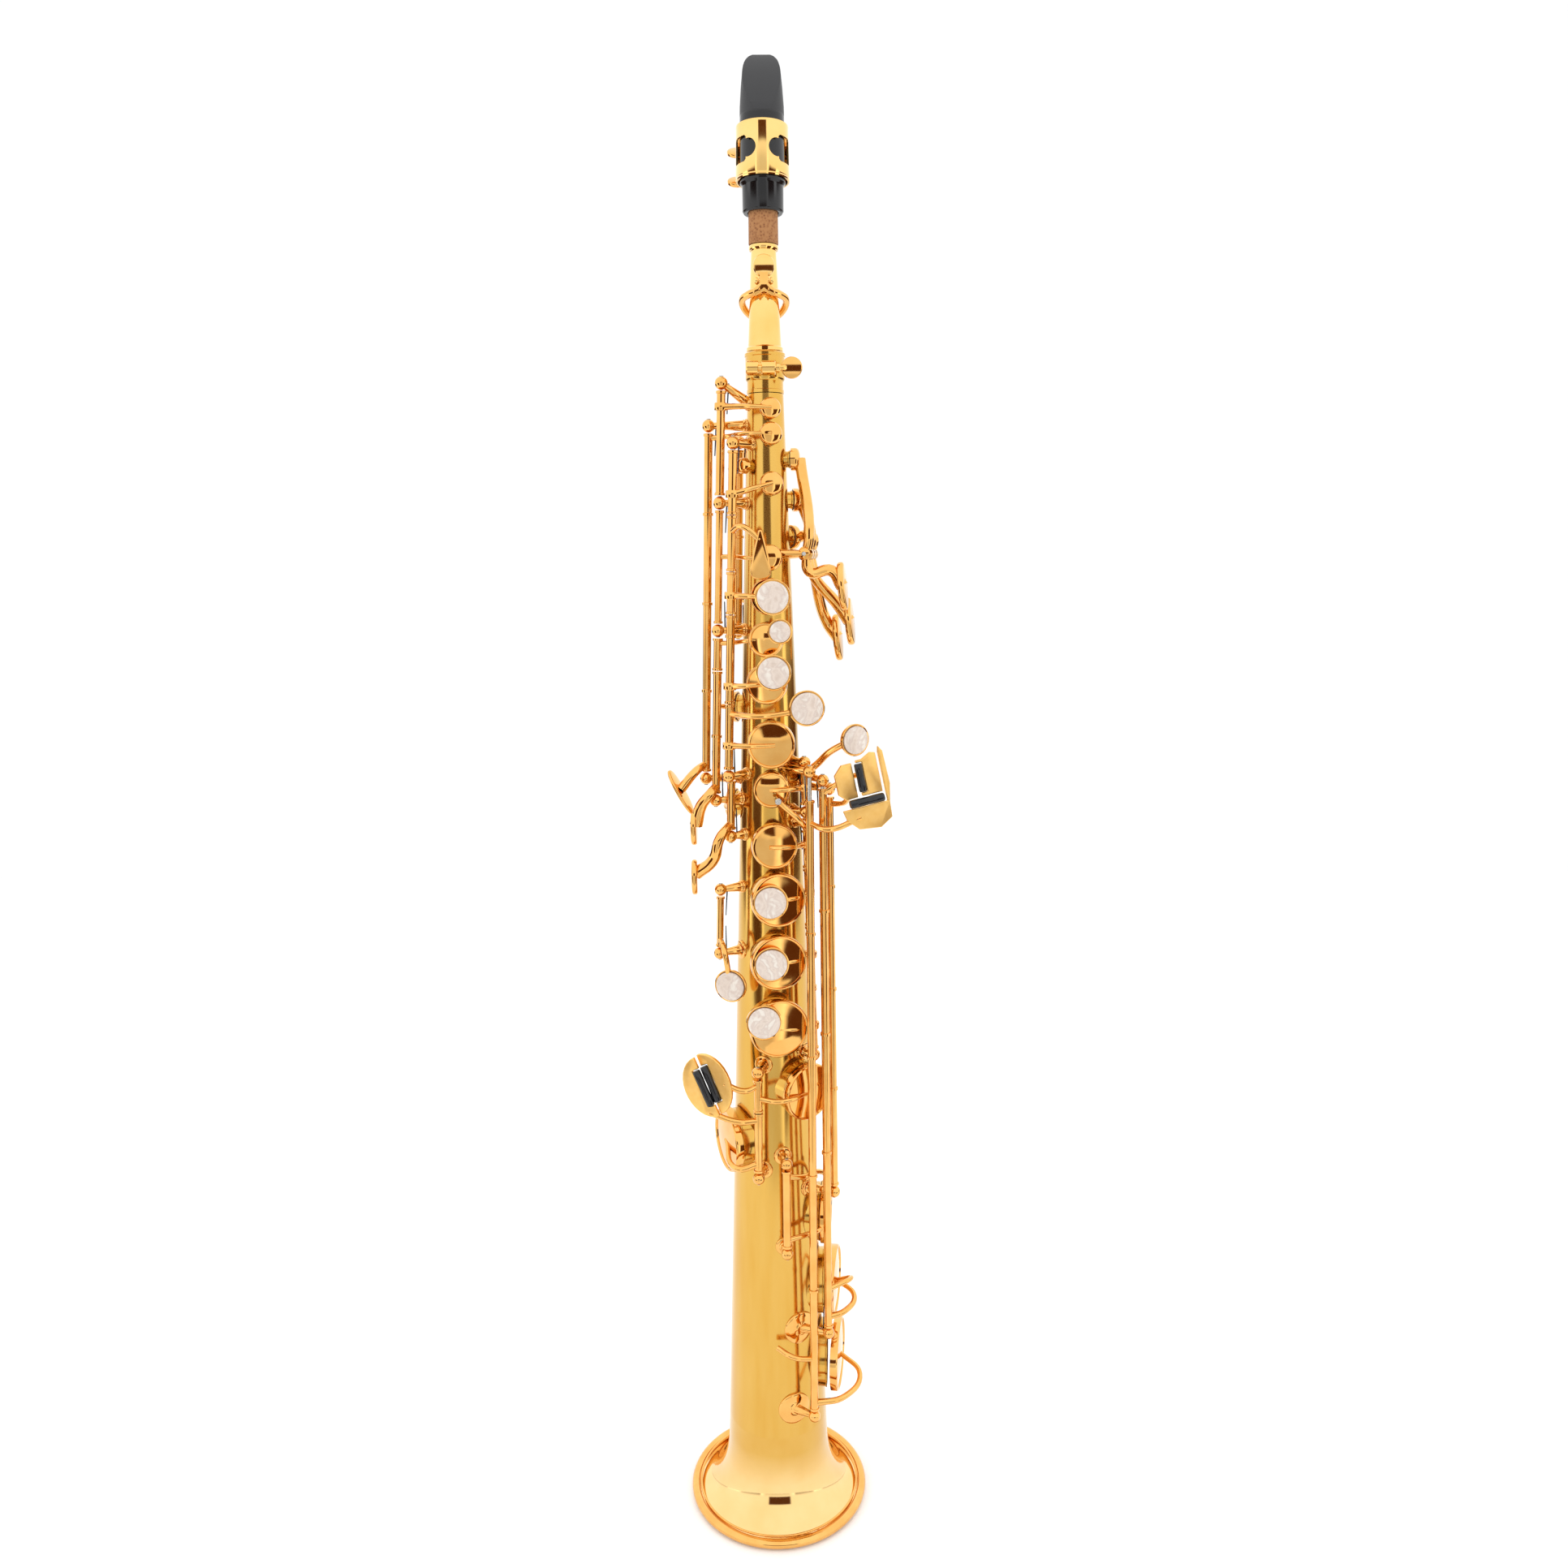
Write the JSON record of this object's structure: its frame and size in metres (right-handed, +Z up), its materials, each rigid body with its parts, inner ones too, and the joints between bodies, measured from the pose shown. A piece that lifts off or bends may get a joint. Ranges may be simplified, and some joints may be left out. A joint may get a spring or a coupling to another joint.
{
  "type": "soprano saxophone",
  "caption": "Straight one-piece-looking conical soprano saxophone with a detachable neck, lacquered brass keywork, white touches, black mouthpiece and a flared bell.",
  "frame": {"origin": "centre of the bell's rim, in the plane it stands on", "axes": "+Z up the bore to the mouthpiece tip, -Y the front with the finger pearls, +X the player's left-hand side"},
  "size_m": [0.103, 0.0912, 0.6915],
  "materials": {
    "lacquered_brass": "polished clear gold lacquer",
    "lacquered_keys": "polished clear gold lacquer",
    "steel": "ground steel rod",
    "pearl": "polished mother-of-pearl",
    "ebonite": "polished hard rubber, satin beak",
    "black_plastic": "polished black resin",
    "cork": "sanded waxed cork",
    "cane": "planed reed cane"
  },
  "bodies": {
    "body": {"body_tube": "lacquered_brass", "bell": "lacquered_brass", "neck_receiver": "lacquered_brass", "palm_key_pin": "steel", "left_stack_rod": "steel", "right_stack_rod": "steel", "low_b_flat_rod": "steel", "low_b_rod": "steel", "thumb_rest": "black_plastic", "thumb_hook": "lacquered_brass", "strap_ring": "lacquered_brass"},
    "neck": {"neck_tube": "lacquered_brass", "neck_cork": "cork"},
    "neck_octave_key": {"neck_octave_key": "lacquered_keys"},
    "neck_screw": {"neck_screw": "lacquered_keys"},
    "mouthpiece": {"mouthpiece": "ebonite", "reed": "cane", "ligature": "lacquered_keys"},
    "ligature_screw_upper": {"ligature_screw_upper": "lacquered_keys"},
    "ligature_screw_lower": {"ligature_screw_lower": "lacquered_keys"},
    "high_f_sharp_key": {"high_f_sharp_key": "lacquered_keys"},
    "high_e_key": {"high_e_key": "lacquered_keys"},
    "high_f_cup_key": {"high_f_cup_key": "lacquered_keys"},
    "front_f_key": {"front_f_key": "lacquered_keys"},
    "high_c_key": {"high_c_key": "lacquered_keys"},
    "b_key": {"b_key": "lacquered_keys", "b_pearl": "pearl"},
    "bis_key": {"bis_key": "lacquered_keys", "bis_pearl": "pearl"},
    "a_key": {"a_key": "lacquered_keys", "a_pearl": "pearl"},
    "g_key": {"g_key": "lacquered_keys", "g_pearl": "pearl"},
    "side_c_key": {"side_c_key": "lacquered_keys"},
    "side_b_flat_key": {"side_b_flat_key": "lacquered_keys"},
    "g_sharp_key": {"g_sharp_key": "lacquered_keys", "g_sharp_pearl": "pearl"},
    "f_sharp_key": {"f_sharp_key": "lacquered_keys"},
    "f_key": {"f_key": "lacquered_keys", "f_pearl": "pearl"},
    "e_key": {"e_key": "lacquered_keys", "e_pearl": "pearl"},
    "d_key": {"d_key": "lacquered_keys", "d_pearl": "pearl"},
    "high_f_sharp_lever": {"high_f_sharp_lever": "lacquered_keys", "high_f_sharp_pearl": "pearl"},
    "low_c_sharp_lever": {"low_c_sharp_lever": "lacquered_keys"},
    "low_b_key": {"low_b_key": "lacquered_keys"},
    "low_b_flat_key": {"low_b_flat_key": "lacquered_keys"},
    "low_c_sharp_key": {"low_c_sharp_key": "lacquered_keys"},
    "low_c_key": {"low_c_key": "lacquered_keys"},
    "e_flat_key": {"e_flat_key": "lacquered_keys"},
    "palm_f_key": {"palm_f_key": "lacquered_keys"},
    "palm_e_flat_key": {"palm_e_flat_key": "lacquered_keys"},
    "palm_d_key": {"palm_d_key": "lacquered_keys"},
    "octave_key": {"octave_key": "lacquered_keys"},
    "left_roller_upper": {"left_roller_upper": "black_plastic"},
    "left_roller_lower": {"left_roller_lower": "black_plastic"},
    "right_roller_inner": {"right_roller_inner": "black_plastic"},
    "right_roller_outer": {"right_roller_outer": "black_plastic"}
  },
  "joints": [
    {"name": "neck_swivel", "type": "hinge", "parent": "body", "child": "neck", "pos_m": [0, 0, 0.569], "axis": [0, 0, 1], "continuous": true},
    {"name": "neck_octave_tilt", "type": "hinge", "parent": "neck", "child": "neck_octave_key", "pos_m": [0, -0.009, 0.5974], "axis": [1, 0, 0], "range_deg": [0, 8], "stiffness_Nm_per_rad": 0.03, "springref_deg": -17.19},
    {"name": "neck_screw_turn", "type": "hinge", "parent": "body", "child": "neck_screw", "pos_m": [0, -0.0112, 0.5613], "axis": [1, 0, 0], "range_deg": [-360, 180]},
    {"name": "mouthpiece_slide", "type": "slide", "parent": "neck", "child": "mouthpiece", "axis": [0, 0, 1], "range_m": [-0.002, 0.036]},
    {"name": "ligature_screw_upper_turn", "type": "hinge", "parent": "mouthpiece", "child": "ligature_screw_upper", "pos_m": [0, 0.017, 0.6563], "axis": [-1, 0, 0], "range_deg": [-360, 180]},
    {"name": "ligature_screw_lower_turn", "type": "hinge", "parent": "mouthpiece", "child": "ligature_screw_lower", "pos_m": [0, 0.017, 0.6443], "axis": [-1, 0, 0], "range_deg": [-360, 180]},
    {"name": "high_f_sharp_turn", "type": "hinge", "parent": "body", "child": "high_f_sharp_key", "pos_m": [-0.02005, -0.00796, 0.53005], "axis": [-0.0329, -0.0078, -0.9994], "range_deg": [0, 6], "stiffness_Nm_per_rad": 0.05, "springref_deg": -20.05},
    {"name": "high_e_turn", "type": "hinge", "parent": "body", "child": "high_e_key", "pos_m": [-0.02776, -0.00052, 0.4587], "axis": [-0.0284, -0.0066, -0.9996], "range_deg": [0, 6], "stiffness_Nm_per_rad": 0.05, "springref_deg": -20.05},
    {"name": "high_f_cup_turn", "type": "hinge", "parent": "body", "child": "high_f_cup_key", "pos_m": [-0.01492, -0.01324, 0.5129], "axis": [-0.0305, -0.0159, -0.9994], "range_deg": [0, 7], "stiffness_Nm_per_rad": 0.05, "springref_deg": -20.05},
    {"name": "front_f_turn", "type": "hinge", "parent": "body", "child": "front_f_key", "pos_m": [-0.01572, -0.01365, 0.48675], "axis": [0.0305, 0.0159, 0.9994], "range_deg": [0, 5], "stiffness_Nm_per_rad": 0.05, "springref_deg": -20.05},
    {"name": "high_c_turn", "type": "hinge", "parent": "body", "child": "high_c_key", "pos_m": [-0.02182, -0.00838, 0.47635], "axis": [0.0329, 0.0078, 0.9994], "range_deg": [0, 6], "stiffness_Nm_per_rad": 0.05, "springref_deg": -20.05},
    {"name": "b_turn", "type": "hinge", "parent": "body", "child": "b_key", "pos_m": [-0.01639, -0.014, 0.465], "axis": [0.0305, 0.0159, 0.9994], "range_deg": [0, 8], "stiffness_Nm_per_rad": 0.05, "springref_deg": -20.05},
    {"name": "bis_turn", "type": "hinge", "parent": "body", "child": "bis_key", "pos_m": [-0.0231, -0.00869, 0.4375], "axis": [0.0329, 0.0078, 0.9994], "range_deg": [0, 7], "stiffness_Nm_per_rad": 0.05, "springref_deg": -20.05},
    {"name": "a_turn", "type": "hinge", "parent": "body", "child": "a_key", "pos_m": [-0.01729, -0.01447, 0.4355], "axis": [0.0305, 0.0159, 0.9994], "range_deg": [0, 8], "stiffness_Nm_per_rad": 0.05, "springref_deg": -20.05},
    {"name": "g_turn", "type": "hinge", "parent": "body", "child": "g_key", "pos_m": [-0.01836, -0.01503, 0.40045], "axis": [0.0305, 0.0159, 0.9994], "range_deg": [0, 8], "stiffness_Nm_per_rad": 0.05, "springref_deg": -20.05},
    {"name": "side_c_turn", "type": "hinge", "parent": "body", "child": "side_c_key", "pos_m": [-0.02428, -0.00897, 0.4016], "axis": [0.0329, 0.0078, 0.9994], "range_deg": [0, 7], "stiffness_Nm_per_rad": 0.05, "springref_deg": -20.05},
    {"name": "side_b_flat_turn", "type": "hinge", "parent": "body", "child": "side_b_flat_key", "pos_m": [-0.01824, -0.0123, 0.36835], "axis": [0.0278, 0.0187, 0.9994], "range_deg": [0, 7], "stiffness_Nm_per_rad": 0.05, "springref_deg": -20.05},
    {"name": "g_sharp_turn", "type": "hinge", "parent": "body", "child": "g_sharp_key", "pos_m": [0.01592, -0.01648, 0.377], "axis": [-0.0233, 0.0241, 0.9994], "range_deg": [0, 7], "stiffness_Nm_per_rad": 0.05, "springref_deg": -20.05},
    {"name": "f_sharp_turn", "type": "hinge", "parent": "body", "child": "f_sharp_key", "pos_m": [0.01679, -0.01312, 0.3472], "axis": [0.0264, -0.0206, -0.9994], "range_deg": [0, 8], "stiffness_Nm_per_rad": 0.05, "springref_deg": -20.05},
    {"name": "f_turn", "type": "hinge", "parent": "body", "child": "f_key", "pos_m": [0.0174, -0.0136, 0.3241], "axis": [0.0264, -0.0206, -0.9994], "range_deg": [0, 8], "stiffness_Nm_per_rad": 0.05, "springref_deg": -20.05},
    {"name": "e_turn", "type": "hinge", "parent": "body", "child": "e_key", "pos_m": [0.01817, -0.0142, 0.2951], "axis": [0.0264, -0.0206, -0.9994], "range_deg": [0, 8], "stiffness_Nm_per_rad": 0.05, "springref_deg": -20.05},
    {"name": "d_turn", "type": "hinge", "parent": "body", "child": "d_key", "pos_m": [0.01897, -0.01482, 0.2648], "axis": [0.0264, -0.0206, -0.9994], "range_deg": [0, 8], "stiffness_Nm_per_rad": 0.05, "springref_deg": -20.05},
    {"name": "high_f_sharp_lever_turn", "type": "hinge", "parent": "body", "child": "high_f_sharp_lever", "pos_m": [-0.0243, -0.01238, 0.3125], "axis": [0.0299, 0.0152, 0.9994], "range_deg": [0, 8], "stiffness_Nm_per_rad": 0.05, "springref_deg": -20.05},
    {"name": "low_c_sharp_lever_turn", "type": "hinge", "parent": "body", "child": "low_c_sharp_lever", "pos_m": [0.02783, -0.01675, 0.2763], "axis": [-0.0086, 0.0118, 0.9999], "range_deg": [0, 4], "stiffness_Nm_per_rad": 0.05, "springref_deg": -20.05},
    {"name": "low_b_turn", "type": "hinge", "parent": "body", "child": "low_b_key", "pos_m": [0.02456, -0.02294, 0.2427], "axis": [-0.0058, 0.0112, 0.9999], "range_deg": [0, 6], "stiffness_Nm_per_rad": 0.05, "springref_deg": -20.05},
    {"name": "low_b_flat_turn", "type": "hinge", "parent": "body", "child": "low_b_flat_key", "pos_m": [0.01786, -0.02667, 0.2189], "axis": [-0.0013, 0.0143, 0.9999], "range_deg": [0, 6], "stiffness_Nm_per_rad": 0.05, "springref_deg": -20.05},
    {"name": "low_c_sharp_turn", "type": "hinge", "parent": "body", "child": "low_c_sharp_key", "pos_m": [0.00545, -0.02802, 0.1733], "axis": [-0.0001, 0.0005, -1], "range_deg": [0, 6], "stiffness_Nm_per_rad": 0.05, "springref_deg": -20.05},
    {"name": "low_c_turn", "type": "hinge", "parent": "body", "child": "low_c_key", "pos_m": [-0.0076, -0.02739, 0.2313], "axis": [0.0049, 0.0178, 0.9998], "range_deg": [0, 5], "stiffness_Nm_per_rad": 0.05, "springref_deg": -20.05},
    {"name": "e_flat_turn", "type": "hinge", "parent": "body", "child": "e_flat_key", "pos_m": [-0.00771, -0.02781, 0.2079], "axis": [0.0049, 0.0178, 0.9998], "range_deg": [0, 7], "stiffness_Nm_per_rad": 0.05, "springref_deg": -20.05},
    {"name": "palm_f_turn", "type": "hinge", "parent": "body", "child": "palm_f_key", "pos_m": [0.01731, -0.00906, 0.482], "axis": [0.2419, 0.9703, 0], "range_deg": [0, 5], "stiffness_Nm_per_rad": 0.05, "springref_deg": -20.05},
    {"name": "palm_e_flat_turn", "type": "hinge", "parent": "body", "child": "palm_e_flat_key", "pos_m": [0.01843, -0.00459, 0.482], "axis": [0.2419, 0.9703, 0], "range_deg": [0, 5], "stiffness_Nm_per_rad": 0.05, "springref_deg": -20.05},
    {"name": "palm_d_turn", "type": "hinge", "parent": "body", "child": "palm_d_key", "pos_m": [0.01954, -0.00013, 0.482], "axis": [0.2419, 0.9703, 0], "range_deg": [0, 5], "stiffness_Nm_per_rad": 0.05, "springref_deg": -20.05},
    {"name": "octave_turn", "type": "hinge", "parent": "body", "child": "octave_key", "pos_m": [-0.01312, 0.01025, 0.489], "axis": [-0.0264, 0.0206, -0.9994], "range_deg": [0, 4], "stiffness_Nm_per_rad": 0.05, "springref_deg": -20.05},
    {"name": "left_roller_upper_spin", "type": "hinge", "parent": "low_b_key", "child": "left_roller_upper", "pos_m": [0.0402, -0.03163, 0.384], "axis": [-0.2042, 0.0582, 0.9772], "continuous": true},
    {"name": "left_roller_lower_spin", "type": "hinge", "parent": "low_b_flat_key", "child": "left_roller_lower", "pos_m": [0.04303, -0.03282, 0.37369], "axis": [0.9585, 0.2146, 0.1877], "continuous": true},
    {"name": "right_roller_inner_spin", "type": "hinge", "parent": "low_c_key", "child": "right_roller_inner", "pos_m": [-0.02962, -0.02752, 0.23794], "axis": [-0.3834, 0.2271, 0.8952], "continuous": true},
    {"name": "right_roller_outer_spin", "type": "hinge", "parent": "e_flat_key", "child": "right_roller_outer", "pos_m": [-0.03309, -0.02825, 0.23612], "axis": [-0.4004, 0.1925, 0.8959], "continuous": true}
  ]
}
